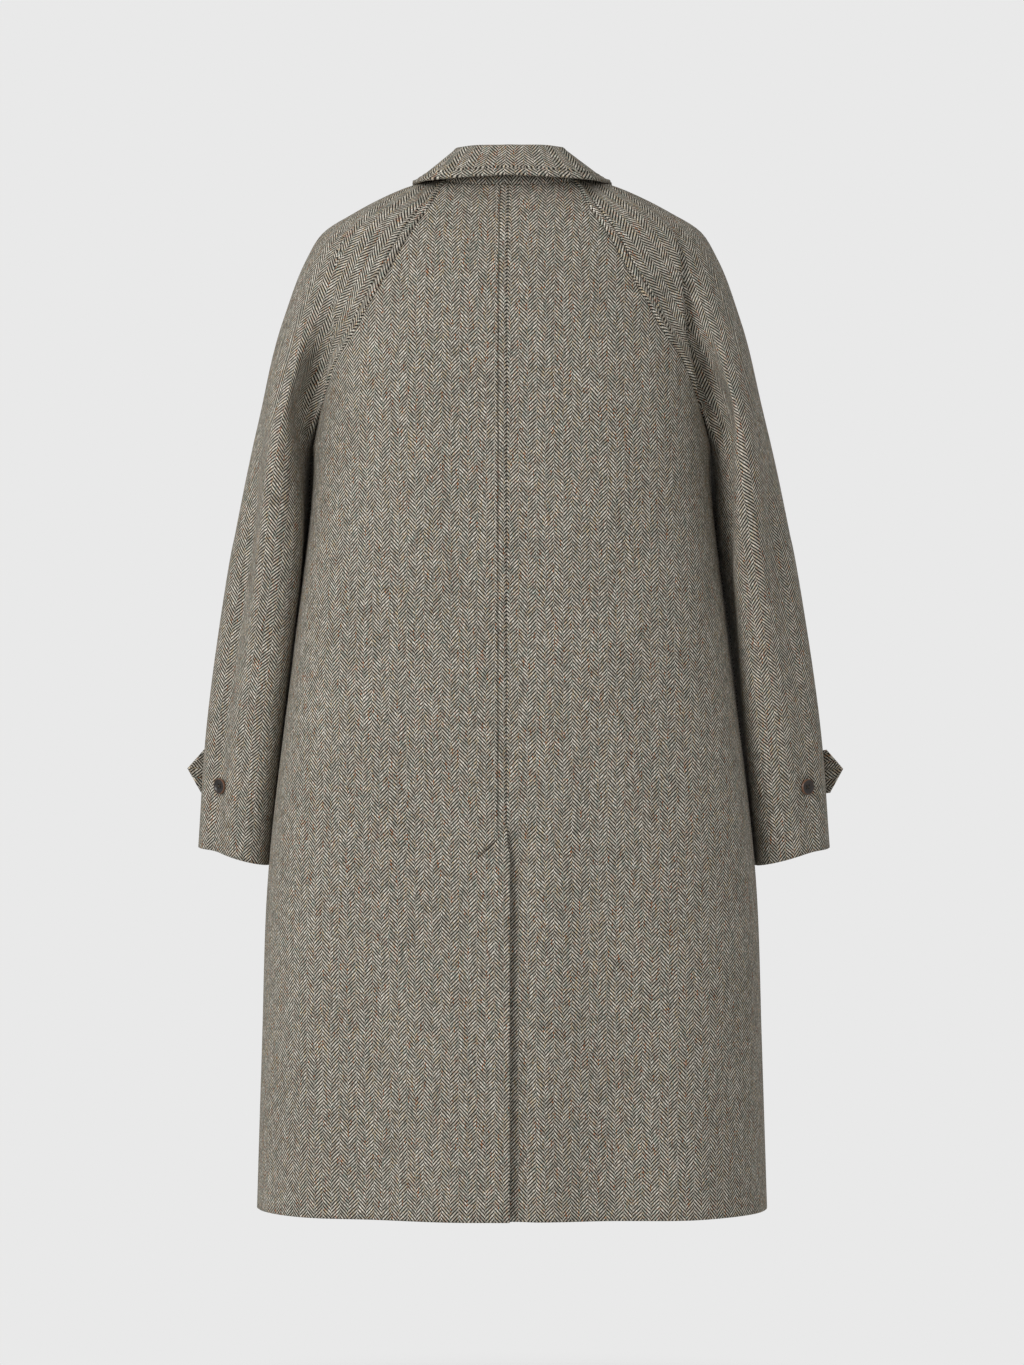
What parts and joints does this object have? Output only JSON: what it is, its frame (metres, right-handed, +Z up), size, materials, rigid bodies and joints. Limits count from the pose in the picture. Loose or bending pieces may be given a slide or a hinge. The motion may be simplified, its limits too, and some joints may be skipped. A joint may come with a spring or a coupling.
{
  "type": "raglan overcoat",
  "caption": "Knee-length single-breasted raglan overcoat in herringbone tweed, filled out as worn, with a turned-down collar, centre-back vent and buttoned cuff tabs.",
  "frame": {"origin": "in the middle of the neck, at the height of the collar seam at centre back, where the wearer's neck and shoulders hold the coat", "axes": "+Z up, the coat's back faces -Y, +X towards the wearer's right"},
  "size_m": [0.7138, 0.3092, 1.1161],
  "materials": {
    "tweed": "matte brown and cream herringbone wool tweed with coloured flecks",
    "horn": "polished dark horn"
  },
  "bodies": {
    "root": {"back_left": "tweed", "back_right": "tweed", "front_left": "tweed", "front_right": "tweed", "sleeve_back_left": "tweed", "sleeve_back_right": "tweed", "sleeve_front_left": "tweed", "sleeve_front_right": "tweed", "collar_stand": "tweed", "collar_fall": "tweed", "cuff_tab_left": "tweed", "cuff_tab_right": "tweed", "cuff_button_left": "horn", "cuff_button_right": "horn", "tab_button_left": "horn", "tab_button_right": "horn", "front_button_1": "horn", "front_button_2": "horn", "front_button_3": "horn", "front_button_4": "horn"}
  },
  "joints": []
}
